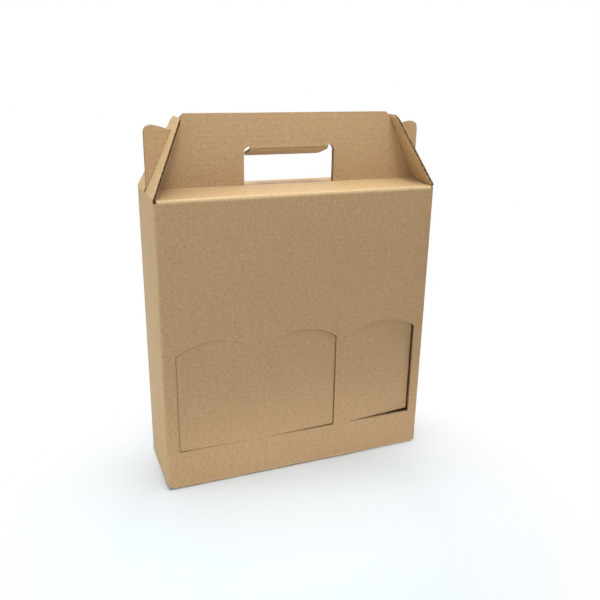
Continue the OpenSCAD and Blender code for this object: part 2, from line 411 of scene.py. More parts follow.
def arc(centre, radius, start, end, steps=10):
    """Points on an arc, angles in degrees."""
    turns = np.radians(np.linspace(start, end, steps + 1))
    return [(centre[0] + radius * math.cos(a), centre[1] + radius * math.sin(a)) for a in turns]


def box(u0, u1, v0, v1):
    return [(u0, v0), (u1, v0), (u1, v1), (u0, v1)]


def both_halves(half, middle=0.0):
    """Outline of a right half, as (across, up), and its mirror image, about a flat u."""
    return [(middle + x, v) for x, v in half] + [(middle - x, v) for x, v in reversed(half)]


def handle_half():
    """Right half of a handle panel with its ear, as (across, height)."""
    ear_u = EAR_INSET + EAR_CORNER
    ear_v = math.sqrt((EAR_R - EAR_CORNER) ** 2 - ear_u**2)
    ear_turn = math.degrees(math.atan2(ear_v, ear_u))
    notch = BOARD + NOTCH_AIR
    notch_turn = 90 - LOCK_LEAN - math.degrees(math.asin(notch / EAR_R))
    shoulder_v = HANDLE_H - CHAMFER
    shoulder_s = (shoulder_v + notch * math.sin(lean)) / math.cos(lean)
    shoulder_u = notch * math.cos(lean) + shoulder_s * math.sin(lean)
    from_crease = [(EAR_INSET, RIDGE_Z - CREASE_Z)]
    from_crease += arc((ear_u, ear_v), EAR_CORNER, 180, ear_turn, EAR_STEPS)
    from_crease += arc((0, 0), EAR_R, ear_turn, notch_turn, EAR_STEPS)[1:]
    from_crease += [(shoulder_u, shoulder_v), (shoulder_u + CHAMFER, HANDLE_H)]
    return [(HALF_W - u, v + CREASE_Z) for u, v in from_crease]


def hole_half():
    """Right half of the hand hole, as (across, height)."""
    centre = (HOLE_HALF - HOLE_CORNER, CREASE_Z + HOLE_TOP - HOLE_CORNER)
    return [(HOLE_HALF, RIDGE_Z)] + arc(centre, HOLE_CORNER, 0, 90)


def handle_loops(wall):
    """Flat outlines of a handle panel and of its hand hole."""
    middle, _ = WALLS[wall]
    halves = (handle_half(), hole_half())
    return [both_halves([(x, handle_v(z)) for x, z in half], middle) for half in halves]


def grip_outline(top):
    """Flat outline of the grip flap below a height."""
    centre = (GRIP_HALF - GRIP_CORNER, GRIP_LOW + GRIP_CORNER)
    return both_halves([(GRIP_HALF, top)] + arc(centre, GRIP_CORNER, 0, -90))


def lock_outline(wall, start):
    """Flat outline of a lock flap with its slot, from a length past the crease."""
    rise = LOCK_LENGTH - LOCK_CORNER
    run_in = LOCK_BASE - LOCK_TOP + LOCK_CORNER
    turn = math.degrees(math.acos(LOCK_CORNER / math.hypot(run_in, rise)) - math.atan2(rise, run_in))
    half = [(SLOT_HALF, SLOT_LENGTH), (SLOT_HALF, start), (LOCK_BASE, start)]
    half += arc((LOCK_TOP - LOCK_CORNER, rise), LOCK_CORNER, turn, 90)
    middle, _ = WALLS[wall]
    return both_halves([(x, lock_v(length)) for x, length in half], middle)


def side_flap_outline(wall, top):
    """Flat outline of a side bottom flap below a height."""
    near = flat_u(wall, SIDE_NEAR)
    far = flat_u(wall, SIDE_FAR)
    return [(near, top), (near, flap_v(SIDE_REACH)), (far, flap_v(SIDE_REACH / 2)), (far, top)]


def glue_outline():
    """Flat outline of the glue flap, tapered to its free edge."""
    fold_edge = [(GLUE_FLAT_U, GLUE_LOW + GLUE_CUT), (GLUE_FLAT_U, GLUE_HIGH - GLUE_CUT)]
    return fold_edge + [(GLUE_END, GLUE_HIGH - GLUE_TAPER), (GLUE_END, GLUE_LOW + GLUE_TAPER)]


# Windows: their middles, and the side that their hinge is on
HINGE_SIDES = (("left", -1, 1), ("middle", 0, -1), ("right", 1, -1))
WINDOWS = {name: (WINDOW_SHIFT + k * WINDOW_PITCH, side) for name, k, side in HINGE_SIDES}


def no_gap(x):
    return 0.0


def window_arch(x0, x1, steps, gap=no_gap):
    """Arched top about a window's middle, from x0 to x1, lower by a gap."""
    half = WINDOW_W / 2
    radius = (half * half + WINDOW_RISE**2) / (2 * WINDOW_RISE)
    centre = WINDOW_SHOULDER + WINDOW_RISE - radius
    places = np.linspace(x0, x1, steps + 1)
    return [(x, centre + math.sqrt((radius - gap(x)) ** 2 - x * x)) for x in places]


def window_hole(name):
    """Cut-out in the front: the window and the board of its hinge."""
    middle, side = WINDOWS[name]
    hinge = side * WINDOW_W / 2
    far = hinge + side * HINGE_HALF
    loop = [(-hinge, WINDOW_LOW), (far, WINDOW_LOW), (far, WINDOW_SHOULDER)]
    return [(x + middle, z) for x, z in loop + window_arch(hinge, -hinge, ARCH_STEPS)]


def window_strips(name):
    """Window flap as cut, in upright strips that are narrow at its hinge."""
    middle, side = WINDOWS[name]
    hinge = side * WINDOW_W / 2
    free = side * FREE_GAP - hinge

    def widening(x, widest):
        return HINGE_GAP + (widest - HINGE_GAP) * abs(hinge - x) / WINDOW_W

    def arch_gap(x):
        return widening(x, ARCH_GAP[name])

    def foot(x):
        return x, WINDOW_LOW + widening(x, FOOT_GAP[name])

    lines = [hinge + side * HINGE_HALF * (1 - k / HINGE_STEPS) for k in range(2 * HINGE_STEPS + 1)]
    strips = []
    for k, (x0, x1) in enumerate(zip(lines, lines[1:])):
        if k < HINGE_STEPS:
            strips.append(box(x0, x1, WINDOW_LOW, WINDOW_SHOULDER))
        else:
            strips.append([foot(x0), foot(x1)] + window_arch(x1, x0, 1, arch_gap))
    strips.append([foot(lines[-1]), foot(free)] + window_arch(free, lines[-1], ARCH_STEPS, arch_gap))
    return [[(x + middle, z) for x, z in strip] for strip in strips]


# Cutting the flat outlines into faces. A patch is (outlines, placing function).
LEVEL_GAP = 2e-3  # levels closer than this are one


def key(value):
    """A coordinate rounded so that equal places compare equal."""
    return round(float(value), 4)


def sheet_levels(patches, extra):
    """Heights at which the sheet is cut: those of every corner, and the extra ones within its reach."""
    levels = {key(v) for loops, _ in patches for loop in loops for _, v in loop}
    low, high = min(levels), max(levels)
    levels = sorted(levels | {key(v) for v in extra if low < v < high})
    return np.array([v for i, v in enumerate(levels) if i == 0 or v - levels[i - 1] > LEVEL_GAP])


def cut_cells(patches, levels):
    """Pieces of the patches between two levels, as (patch, level, left ends, right ends)."""
    cells = []
    for patch, (loops, _) in enumerate(patches):
        edges = []
        for loop in loops:
            flat = [(u, levels[np.abs(levels - v).argmin()]) for u, v in loop]
            edges += [(a, b) for a, b in zip(flat, flat[1:] + flat[:1]) if a[1] != b[1]]
        heights = [v for edge in edges for _, v in edge]
        lowest, highest = np.searchsorted(levels, (min(heights), max(heights)))
        for i in range(lowest, highest):
            crossing = []
            for (ua, va), (ub, vb) in edges:
                if min(va, vb) <= levels[i] and max(va, vb) >= levels[i + 1]:
                    ends = [ua + (ub - ua) * (v - va) / (vb - va) for v in levels[i : i + 2]]
                    crossing.append((sum(ends), key(ends[0]), key(ends[1])))
            crossing.sort()
            for left, right in zip(crossing[::2], crossing[1::2]):
                cells.append((patch, i, left[1:], right[1:]))
    return cells


def bridge(lower, upper, points):
    """Faces between two rows of points, each given from left to right."""
    if len(lower) == len(upper) == 2:
        return [[lower[0], lower[1], upper[1], upper[0]]]
    faces = []
    a = b = 0
    while a + 1 < len(lower) or b + 1 < len(upper):
        next_lower = points[lower[a + 1]][0] if a + 1 < len(lower) else math.inf
        next_upper = points[upper[b + 1]][0] if b + 1 < len(upper) else math.inf
        if next_lower <= next_upper:
            faces.append([lower[a], lower[a + 1], upper[b]])
            a += 1
        else:
            faces.append([lower[a], upper[b + 1], upper[b]])
            b += 1
    return faces


def lay_out(patches, extra):
    """Flat points of the patches, the patch of each, and faces that meet corner to corner."""
    levels = sheet_levels(patches, extra)
    cells = cut_cells(patches, levels)
    marks = [set() for _ in levels]
    for _, i, left, right in cells:
        for j in (0, 1):
            marks[i + j] |= {left[j], right[j]}
    rows = [np.array(sorted(mark)) for mark in marks]
    points, owners, index, faces = [], [], {}, []

    def point(patch, u, i):
        if (u, i) not in index:
            index[u, i] = len(points)
            points.append((u, levels[i]))
            owners.append(patch)
        return index[u, i]

    for patch, i, left, right in cells:
        ends = []
        for j in (0, 1):
            row = rows[i + j]
            between = row[(row >= left[j]) & (row <= right[j])]
            ends.append([point(patch, float(u), i + j) for u in between])
        faces += bridge(ends[0], ends[1], points)
    return np.array(points), np.array(owners), faces


# The map on which looks can be baked: the two sides that show beside each other, hidden ones small above
ISLAND_GAP = 8.0
MAP_MARGIN = 2.0
HIDDEN_SCALE = 0.06


def bake_map(points, sides):
    """Function from a side of the board and flat points to places on the map."""
    low = points.min(0)
    span = np.ptp(points, axis=0) + ISLAND_GAP
    step = np.array([0, span[1]]) if span[0] > span[1] else np.array([span[0], 0])
    top = span[1] + step[1]
    spots = []
    for side in range(sides):
        if side in (0, sides - 1):
            spots.append((1.0, min(side, 1) * step - low))
        else:
            hidden = np.array([(side - 1) * span[0] * HIDDEN_SCALE, top])
            spots.append((HIDDEN_SCALE, hidden - low * HIDDEN_SCALE))
    width = max(span[0] + step[0], top + span[1] * HIDDEN_SCALE) + 2 * MAP_MARGIN

    def on_map(side, flat):
        scale, shift = spots[side]
        return (flat * scale + shift + MAP_MARGIN) / width

    return on_map


def place_points(points, owners, patches, depths):
    """Points of the box, in millimetres, for flat points at depths below the outer face."""
    found = np.empty((len(points), 3))
    for patch, (_, put) in enumerate(patches):
        here = owners == patch
        if here.any():
            found[here] = put(points[here, 0], points[here, 1], depths[here])
    return found


def crease_strength(points, creases):
    """1 at flat points on a crease, fading to 0 beside it. A crease is (u0, u1, v0, v1)."""
    crease_paling = np.zeros(len(points))
    for u0, u1, v0, v1 in creases:
        beside = np.maximum(np.maximum(u0 - points[:, 0], points[:, 0] - u1), 0)
        above = np.maximum(np.maximum(v0 - points[:, 1], points[:, 1] - v1), 0)
        crease_paling = np.maximum(crease_paling, 1 - np.hypot(beside, above) / CREASE_FADE)
    return crease_paling


def rim_strips(points, rim):
    """Flat places for the cut edges of a layer, just outside its rim."""
    strips = []
    for a, b in rim:
        along = points[b] - points[a]
        out = np.array([along[1], -along[0]]) / np.hypot(*along) * LINER
        strips.append(np.array([points[b], points[a], points[a] + out, points[b] + out]))
    return strips


def make_board(name, patches, layers, extra=(), creases=()):
    """A mesh object of layers of the board. A layer is a pair of depths, numbers or functions of v."""
    points, owners, faces = lay_out(patches, extra)
    count = len(points)
    edges = [(a, b) for face in faces for a, b in zip(face, face[1:] + face[:1])]
    known = set(edges)
    rim = [(a, b) for a, b in edges if (b, a) not in known]
    on_map = bake_map(points, 2 * len(layers))
    corners, sheet, polygons, marks = [], [], [], []
    for k, layer in enumerate(layers):
        outer, inner = 2 * k, 2 * k + 1
        first, second = outer * count, inner * count
        for depth in layer:
            depths = depth(points[:, 1]) if callable(depth) else np.full(count, depth)
            corners.append(place_points(points, owners, patches, depths))
            sheet.append(np.column_stack([points, depths]))
        polygons += [[first + i for i in face] for face in faces]
        polygons += [[second + i for i in reversed(face)] for face in faces]
        polygons += [[first + b, first + a, second + a, second + b] for a, b in rim]
        marks += [on_map(outer, points[face]) for face in faces]
        marks += [on_map(inner, points[face[::-1]]) for face in faces]
        marks += [on_map(inner if k else outer, strip) for strip in rim_strips(points, rim)]
    mesh = bpy.data.meshes.new(name)
    mesh.from_pydata((np.concatenate(corners) * MM).tolist(), [], polygons)
    baked = np.concatenate(marks).astype(np.float32)
    mesh.uv_layers.new(name="OFBake").data.foreach_set("uv", baked.ravel())
    spots = (np.concatenate(sheet) * MM).astype(np.float32)
    mesh.attributes.new("sheet", "FLOAT_VECTOR", "POINT").data.foreach_set("vector", spots.ravel())
    crease_paling = np.tile(crease_strength(points, creases), 2 * len(layers)).astype(np.float32)
    mesh.attributes.new("crease", "FLOAT", "POINT").data.foreach_set("value", crease_paling)
    mesh.shade_smooth()
    mesh.set_sharp_from_angle(angle=SHARP_ANGLE)
    piece = bpy.data.objects.new(name, mesh)
    bpy.context.scene.collection.objects.link(piece)
    return piece


def wave(v):
    """Depth of the middle of the fluting at flat height v."""
    reach = BOARD / 2 - LINER - MEDIUM / 2 + FLUTE_SINK
    return BOARD / 2 + reach * np.cos(2 * math.pi * v / PITCH)


LINERS = [(0.0, LINER), (BOARD - LINER, BOARD)]
FLUTING = [(lambda v: wave(v) - MEDIUM / 2, lambda v: wave(v) + MEDIUM / 2)]
SHEET_LOW, SHEET_HIGH = -200, 500
FLUTE_LEVELS = np.arange(SHEET_LOW, SHEET_HIGH, PITCH / PITCH_STEPS)
front_down = folded("front", under, FOLD_R, -1)
tongue_down = folded("front", under_tongue, FOLD_R, -1)
back_down = folded("back", under_back, BACK_FOOT, -1)
grip_down = folded("front", grip_path, GRIP_V, -1)
holes = [window_hole(name) for name in WINDOWS]


def fold_strips(centre, first, start, low=FOLD_R, high=FOLD_Z):
    """Patches of an upright fold."""
    put = round_corner(centre, first, start)
    edges = [start + CORNER * i / FOLD_STEPS for i in range(FOLD_STEPS + 1)]
    return [([box(u0, u1, low, high)], put) for u0, u1 in zip(edges, edges[1:])]


def wall_patches():
    """Walls and upright folds. The back reaches lower at the seam, where there is no fold."""
    back_right = BACK_U + 2 * FOLD_X
    back = [(BACK_U, BACK_FOOT), (back_right, BACK_FOOT), (back_right, FOLD_R)]
    back += [(BACK_END, FOLD_R), (BACK_END, FOLD_Z), (BACK_U, FOLD_Z)]
    patches = [([box(-FOLD_X, FOLD_X, FOLD_R, FOLD_Z)] + holes, upright("front"))]
    patches += fold_strips((FOLD_X, -FOLD_Y), 270, FOLD_X)
    patches.append(([box(RIGHT_U, RIGHT_END, FOLD_R, LOCK_FOOT)], upright("right")))
    patches += fold_strips((FOLD_X, FOLD_Y), 0, RIGHT_END)
    patches.append(([back], upright("back")))
    patches += fold_strips((-FOLD_X, -FOLD_Y), 180, LEFT_U)
    patches.append(([box(GLUE_U, LEFT_U, FOLD_R, LOCK_FOOT)], upright("left")))
    for low, high in ((FOLD_R, GLUE_LOW), (GLUE_HIGH, FOLD_Z)):
        patches.append(([box(LEFT_END, GLUE_U, low, high)], upright("left")))
    return patches


def glue_flap_patches():
    patches = fold_strips((-FOLD_X, GLUE_Y), 90, GLUE_FLAT_U, GLUE_LOW + GLUE_CUT, GLUE_HIGH - GLUE_CUT)
    patches.append(([glue_outline()], glued))
    return patches


def roof_patches(wall):
    """Roof and handle. In the hand hole the roof runs straight on as a sill."""
    middle, _ = WALLS[wall]
    put = folded(wall, over_top, FOLD_Z, 1)
    roof = both_halves([(FOLD_X, FOLD_Z), (FOLD_X, ROOF_V), (RIDGE_HALF, RIDGE_V)], middle)
    patches = [([roof], put)]
    ridge = [(HOLE_HALF, RIDGE_V), (RIDGE_HALF, RIDGE_V), (ROOF_HALF, HANDLE_V), (HOLE_HALF, HANDLE_V)]
    for side in (-1, 1):
        patches.append(([[(middle + side * x, v) for x, v in ridge]], put))
    sill_half = HOLE_HALF - SILL_CUT
    sill = box(middle - sill_half, middle + sill_half, RIDGE_V, RIDGE_V + SILL)
    patches.append(([sill], folded(wall, over_sill, FOLD_Z, 1)))
    patches.append((handle_loops(wall), put))
    return patches


def bottom_patches():
    """Snap-lock bottom: front flap with its tongue, side flaps and notched back flap."""
    patches = []
    for side in (-1, 1):
        beside = sorted((side * TONGUE_HALF, side * BOTTOM_HALF))
        past = sorted((side * (TONGUE_HALF + TONGUE_CUT), side * BOTTOM_HALF))
        patches.append(([box(*beside, BEND_V, FOLD_R)], front_down))
        patches.append(([box(*past, flap_v(FRONT_REACH), BEND_V)], front_down))
    tongue = [(TONGUE_HALF, FOLD_R), (TONGUE_HALF, TONGUE_LOW + TONGUE_CORNER)]
    tongue.append((TONGUE_HALF - TONGUE_CORNER, TONGUE_LOW))
    patches.append(([both_halves(tongue)], tongue_down))
    for wall in ("left", "right"):
        patches.append(([side_flap_outline(wall, FOLD_R)], folded(wall, under, FOLD_R, -1)))
    back = [(BOTTOM_HALF, BACK_FOOT), (BOTTOM_HALF, back_flap_v(BACK_REACH))]
    back += [(NOTCH_HALF, back_flap_v(BACK_REACH)), (NOTCH_HALF, back_flap_v(NOTCH_REACH))]
    patches.append(([both_halves(back, WALLS["back"][0])], back_down))
    return patches


def carton_creases():
    """Creases of the carton, as (u0, u1, v0, v1)."""
    creases = [(-BOTTOM_HALF, BOTTOM_HALF, flap_v(FOLD_R), FOLD_R)]
    for wall in ("front", "back"):
        middle, _ = WALLS[wall]
        creases.append((middle - FOLD_X, middle + FOLD_X, FOLD_Z, ROOF_V))
    for run in grip_path.runs:
        if run.turn:
            creases.append((-GRIP_HALF, GRIP_HALF, GRIP_V - run.end, GRIP_V - run.start))
    for wall in ("left", "right"):
        ends = sorted((flat_u(wall, SIDE_NEAR), flat_u(wall, SIDE_FAR)))
        creases.append((*ends, flap_v(FOLD_R), FOLD_R))
    middle, _ = WALLS["back"]
    creases.append((middle - BOTTOM_HALF, middle + BOTTOM_HALF, back_flap_v(FOLD_R), BACK_FOOT))
    return creases


def carton_flutes():
    """Patches of the fluting in the carton's flat panels."""
    inside_x = FOLD_X - FOLD_MARGIN
    below_top = FOLD_Z - FOLD_MARGIN
    past_fold = FOLD_R + FOLD_MARGIN
    patches = [
        ([box(-inside_x, inside_x, past_fold, below_top)] + holes, upright("front")),
        ([box(RIGHT_U + FOLD_MARGIN, RIGHT_END - FOLD_MARGIN, FOLD_R, LOCK_FOOT)], upright("right")),
        ([box(GLUE_U, LEFT_U - FOLD_MARGIN, FOLD_R, LOCK_FOOT)], upright("left")),
        ([box(BACK_U + FOLD_MARGIN, BACK_END, BACK_FOOT + FOLD_MARGIN, below_top)], upright("back")),
        ([glue_outline()], glued),
        ([grip_outline(GRIP_FLAT_V - TIGHT_MARGIN)], grip_down),
        ([box(-BOTTOM_HALF, BOTTOM_HALF, BEND_V + FOLD_MARGIN, flap_v(past_fold))], front_down),
    ]
    for wall in ("front", "back"):
        over = folded(wall, over_top, FOLD_Z, 1)
        roof = [(FOLD_X, ROOF_V + TIGHT_MARGIN), (ROOF_HALF, RIDGE_V - TIGHT_MARGIN)]
        patches.append(([both_halves(roof, WALLS[wall][0])], over))
        patches.append((handle_loops(wall), over))
    for wall in ("left", "right"):
        patches.append(([side_flap_outline(wall, flap_v(past_fold))], folded(wall, under, FOLD_R, -1)))
    for side in (-1, 1):
        ends = sorted(flat_u("back", side * half) for half in (NOTCH_HALF, BOTTOM_HALF))
        patches.append(([box(*ends, back_flap_v(BACK_REACH), back_flap_v(past_fold))], back_down))
    return patches


def make_carton():
    patches = wall_patches() + glue_flap_patches() + roof_patches("front") + roof_patches("back")
    patches.append(([grip_outline(GRIP_V)], grip_down))
    patches += bottom_patches()
    creases = carton_creases()
    levels = [FOLD_Z + s for s in over_top.levels()] + [GRIP_V - s for s in grip_path.levels()]
    levels += [FOLD_R - s for s in under_tongue.levels()] + [BACK_FOOT - s for s in under_back.levels()]
    for _, _, v0, v1 in creases:
        levels += [v0 - CREASE_FADE, v1 + CREASE_FADE]
    board = make_board("carton_board", patches, LINERS, levels, creases)
    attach(board, "carton")
    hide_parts("carton_body")
    fluting = make_board("carton_fluting", carton_flutes(), FLUTING, FLUTE_LEVELS)
    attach(fluting, "carton")


def make_lock_flap(wall):
    """Lock flap, bent from its side wall at the crease."""
    put = folded(wall, lock_path, LOCK_FOOT, 1)
    middle, _ = WALLS[wall]
    base = box(middle - FOLD_Y, middle + FOLD_Y, LOCK_FOOT, lock_v(LOCK_START))
    levels = [LOCK_FOOT + s for s in lock_path.levels()]
    levels += list(np.linspace(LOCK_FOOT, lock_v(LOCK_BEND_END), LOCK_BEND_STEPS + 1))
    patches = [([base], put), ([lock_outline(wall, LOCK_START)], put)]
    board = make_board(f"{wall}_lock_board", patches, LINERS, levels)
    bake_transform(board)
    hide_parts(f"{wall}_lock_flap")
    patches = [([lock_outline(wall, LOCK_MARGIN)], put)]
    fluting = make_board(f"{wall}_lock_fluting", patches, FLUTING, FLUTE_LEVELS)
    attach(fluting, f"{wall}_lock_flap")


def make_window_flap(name):
    """Window flap, bent from the front at its uncut edge."""
    middle, side = WINDOWS[name]
    hinge_x = middle + side * WINDOW_W / 2
    hinge_y = BOARD - HALF_D

    def put(u, v, depth):
        reach = side * (hinge_x - u)
        share = np.clip((reach + HINGE_HALF) / (2 * HINGE_HALF), 0, 1)
        turn = math.radians(AJAR[name]) * share * share * (3 - 2 * share)
        out = BOARD - depth
        x = hinge_x - side * (reach * np.cos(turn) + out * np.sin(turn))
        y = hinge_y + np.maximum(reach, 0) * np.sin(turn) - out * np.cos(turn)
        return np.stack(np.broadcast_arrays(x, y, v), -1)

    strips = window_strips(name)
    board = make_board(f"{name}_window_board", [([strip], put) for strip in strips], LINERS)
    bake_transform(board)
    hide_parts(f"{name}_window_flap")
    fluting = make_board(f"{name}_window_fluting", [([strips[-1]], put)], FLUTING, FLUTE_LEVELS)
    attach(fluting, f"{name}_window_flap")


make_carton()
make_lock_flap("left")
make_lock_flap("right")
for window in WINDOWS:
    make_window_flap(window)


def material(name):
    made = bpy.data.materials.new(name)
    made.use_nodes = True
    made.node_tree.nodes.clear()
    return made


class Nodes:
    """Short way to write a node tree."""

    def __init__(self, tree):
        self.tree = tree

    def feed(self, socket, value):
        if isinstance(value, bpy.types.NodeSocket):
            self.tree.links.new(value, socket)
        else:
            socket.default_value = value

    def add(self, kind, inputs=None, **settings):
        node = self.tree.nodes.new(kind)
        for name, value in settings.items():
            setattr(node, name, value)
        for name, value in (inputs or {}).items():
            self.feed(node.inputs[name], value)
        return node

    def math(self, operation, a, b=0.0, c=0.0):
        return self.add("ShaderNodeMath", {0: a, 1: b, 2: c}, operation=operation).outputs[0]

    def noise(self, vector, scale, detail, rough=0.55):
        inputs = {"Vector": vector, "Scale": scale, "Detail": detail, "Roughness": rough}
        return self.add("ShaderNodeTexNoise", inputs).outputs[0]

    def stretch(self, vector, scale, offset=(0, 0, 0)):
        inputs = {"Vector": vector, "Scale": scale, "Location": offset}
        return self.add("ShaderNodeMapping", inputs).outputs[0]

    def span(self, value, low, high, to_low, to_high):
        inputs = {0: value, 1: low, 2: high, 3: to_low, 4: to_high}
        return self.add("ShaderNodeMapRange", inputs).outputs[0]

    def mix(self, factor, a, b):
        node = self.add("ShaderNodeMix", data_type="RGBA")
        for socket, value in zip((node.inputs[0], node.inputs[6], node.inputs[7]), (factor, a, b)):
            self.feed(socket, value)
        return node.outputs[2]

    def mark(self, colour, pattern, low, high, strength, tint):
        """Colour with a tint where a pattern rises from low to high."""
        return self.mix(self.span(pattern, low, high, 0, strength), colour, tint)

    def mix_shaders(self, factor, a, b):
        return self.add("ShaderNodeMixShader", {0: factor, 1: a, 2: b}).outputs[0]


def srgb(r, g, b):
    """Linear colour of an sRGB one in steps of 255."""
    return tuple(((c / 255 + 0.055) / 1.055) ** 2.4 for c in (r, g, b)) + (1.0,)


# Colours of kraft paper
PAPER = srgb(188, 155, 119)
PAPER_PALE = srgb(195, 162, 126)
ROSY = srgb(198, 153, 124)
OLIVE = srgb(182, 159, 112)
MOTTLED = srgb(166, 132, 97)
GRAINED = srgb(152, 118, 84)
FIBRE_PALE = srgb(216, 186, 150)
FLECK_BROWN = srgb(130, 98, 66)
SPECK_DARK = srgb(104, 76, 52)
# Ribs: painted shade along the ribs of the fluting
RIB_SHADE = srgb(140, 108, 74)
# Creases: partly crushed, paler paper and partly a painted highlight where the folds catch the light
CREASE_WORN_AND_HIGHLIT = srgb(226, 200, 160)
FLUTE_DARK = srgb(150, 120, 84)
FLUTE_PALE = srgb(172, 140, 102)

# Patterns in the paper, which lie on the flat sheet in metres
LAYER_STRETCH = 40  # the two faces of the board lie this much further apart in the patterns
ROSY_OFFSET = (3, 1, 0)
OLIVE_OFFSET = (1, 5, 0)
RIBS_PER_METRE = 1 / (PITCH * MM)
RIB_DEPTH = 0.00006  # height of a bump of 1, in metres
RIB_SHARE = 0.3
MOTTLE_SHARE = 0.3
FIBRE_SHARE = 0.12


def kraft_liner():
    """Liner: clouded paper with fibres and flecks, faint ribs of the fluting with painted shade along
    them, and creases paled partly by wear and partly by a painted highlight.
    """
    made = material("kraft_liner")
    nodes = Nodes(made.node_tree)
    spot = nodes.add("ShaderNodeAttribute", attribute_name="sheet").outputs["Vector"]
    crease = nodes.add("ShaderNodeAttribute", attribute_name="crease").outputs["Fac"]
    up = nodes.add("ShaderNodeSeparateXYZ", {0: spot}).outputs[1]
    layered = nodes.stretch(spot, (1, 1, LAYER_STRETCH))
    cloud = nodes.noise(layered, scale=14, detail=3)
    rosy = nodes.noise(nodes.stretch(layered, (1, 1, 1), ROSY_OFFSET), scale=85, detail=4, rough=0.65)
    olive = nodes.noise(nodes.stretch(layered, (1, 1, 1), OLIVE_OFFSET), scale=110, detail=4, rough=0.65)
    mottle = nodes.noise(layered, scale=190, detail=5, rough=0.75)
    grain = nodes.noise(nodes.stretch(layered, (380, 420, 1)), scale=1.0, detail=4, rough=0.75)
    fibre = nodes.noise(nodes.stretch(layered, (260, 1500, 1)), scale=1.0, detail=3, rough=0.7)
    fleck = nodes.noise(nodes.stretch(layered, (900, 1500, 1)), scale=1.0, detail=2, rough=0.6)
    speck = nodes.noise(layered, scale=420, detail=1, rough=0.4)
    ribs = nodes.math("COSINE", nodes.math("MULTIPLY", up, 2 * math.pi * RIBS_PER_METRE))
    colour = nodes.mark(PAPER, cloud, low=0.35, high=0.65, strength=1, tint=PAPER_PALE)
    colour = nodes.mark(colour, rosy, low=0.4, high=0.62, strength=0.6, tint=ROSY)
    colour = nodes.mark(colour, olive, low=0.4, high=0.62, strength=0.55, tint=OLIVE)
    colour = nodes.mark(colour, mottle, low=0.3, high=0.7, strength=0.65, tint=MOTTLED)
    colour = nodes.mark(colour, grain, low=0.4, high=0.68, strength=0.6, tint=GRAINED)
    colour = nodes.mark(colour, fibre, low=0.42, high=0.7, strength=0.45, tint=FIBRE_PALE)
    colour = nodes.mark(colour, fleck, low=0.62, high=0.75, strength=0.4, tint=FLECK_BROWN)
    colour = nodes.mark(colour, speck, low=0.76, high=0.8, strength=0.45, tint=SPECK_DARK)
    # painted shade along the ribs of the fluting, beside their bump
    colour = nodes.mark(colour, ribs, low=-1, high=1, strength=0.05, tint=RIB_SHADE)
    # painted highlight on the creases, together with the paler crushed paper there
    colour = nodes.mark(colour, crease, low=0, high=1, strength=0.3, tint=CREASE_WORN_AND_HIGHLIT)
    height = nodes.math("MULTIPLY_ADD", ribs, RIB_SHARE, nodes.math("MULTIPLY", mottle, MOTTLE_SHARE))
    height = nodes.math("MULTIPLY_ADD", fibre, FIBRE_SHARE, height)
    relief = {"Strength": 1.0, "Distance": RIB_DEPTH, "Height": height}
    bump = nodes.add("ShaderNodeBump", relief).outputs[0]
    rough = nodes.span(mottle, low=0.3, high=0.7, to_low=0.55, to_high=0.7)
    look = {"Base Color": colour, "Roughness": rough, "Normal": bump, "Specular IOR Level": 0.45}
    shader = nodes.add("ShaderNodeBsdfPrincipled", look)
    nodes.add("ShaderNodeOutputMaterial", {"Surface": shader.outputs[0]})
    return made


def kraft_fluting():
    """Fluting: plain rough paper, a little darker than the liner."""
    made = material("kraft_fluting")
    nodes = Nodes(made.node_tree)
    spot = nodes.add("ShaderNodeAttribute", attribute_name="sheet").outputs["Vector"]
    mottle = nodes.noise(spot, scale=300, detail=3)
    colour = nodes.mark(FLUTE_DARK, mottle, low=0.3, high=0.7, strength=1, tint=FLUTE_PALE)
    look = {"Base Color": colour, "Roughness": 0.85, "Specular IOR Level": 0.2}
    shader = nodes.add("ShaderNodeBsdfPrincipled", look)
    nodes.add("ShaderNodeOutputMaterial", {"Surface": shader.outputs[0]})
    return made


liner = kraft_liner()
medium = kraft_fluting()
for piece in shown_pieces():
    if "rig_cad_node" not in piece:
        piece.data.materials.append(medium if piece.name.endswith("fluting") else liner)

# Floor, in metres: it keeps the shadow near the box and turns plain white further out
FLOOR_Z = -0.0002
FLOOR_HALF = (12.0, 12.0)
UNDER_HALF = (0.158, 0.044)
SHADOW_MIDDLE = (-0.06, -0.16, 0.0)
SHADOW_NEAR, SHADOW_FAR = 0.17, 0.34
FLOOR_SEEN = (0.73, 0.76, 0.86, 1)
FLOOR_BOUNCE = (0.87, 0.86, 0.85, 1)
# dark grey painted shadow under the box
FLOOR_PAINTED_SHADOW = (0.3, 0.3, 0.3, 1)
WHITE = (1, 1, 1, 1)


def rectangle(half):
    """Corners of a level rectangle about the middle of the floor."""
    return [(half[0] * x, half[1] * y, FLOOR_Z) for x, y in ((-1, -1), (1, -1), (1, 1), (-1, 1))]


def stage(name, points, faces, surface):
    mesh = bpy.data.meshes.new(name)
    mesh.from_pydata(points, [], faces)
    mesh.materials.append(surface)
    made = bpy.data.objects.new(name, mesh)
    bpy.context.scene.collection.objects.link(made)


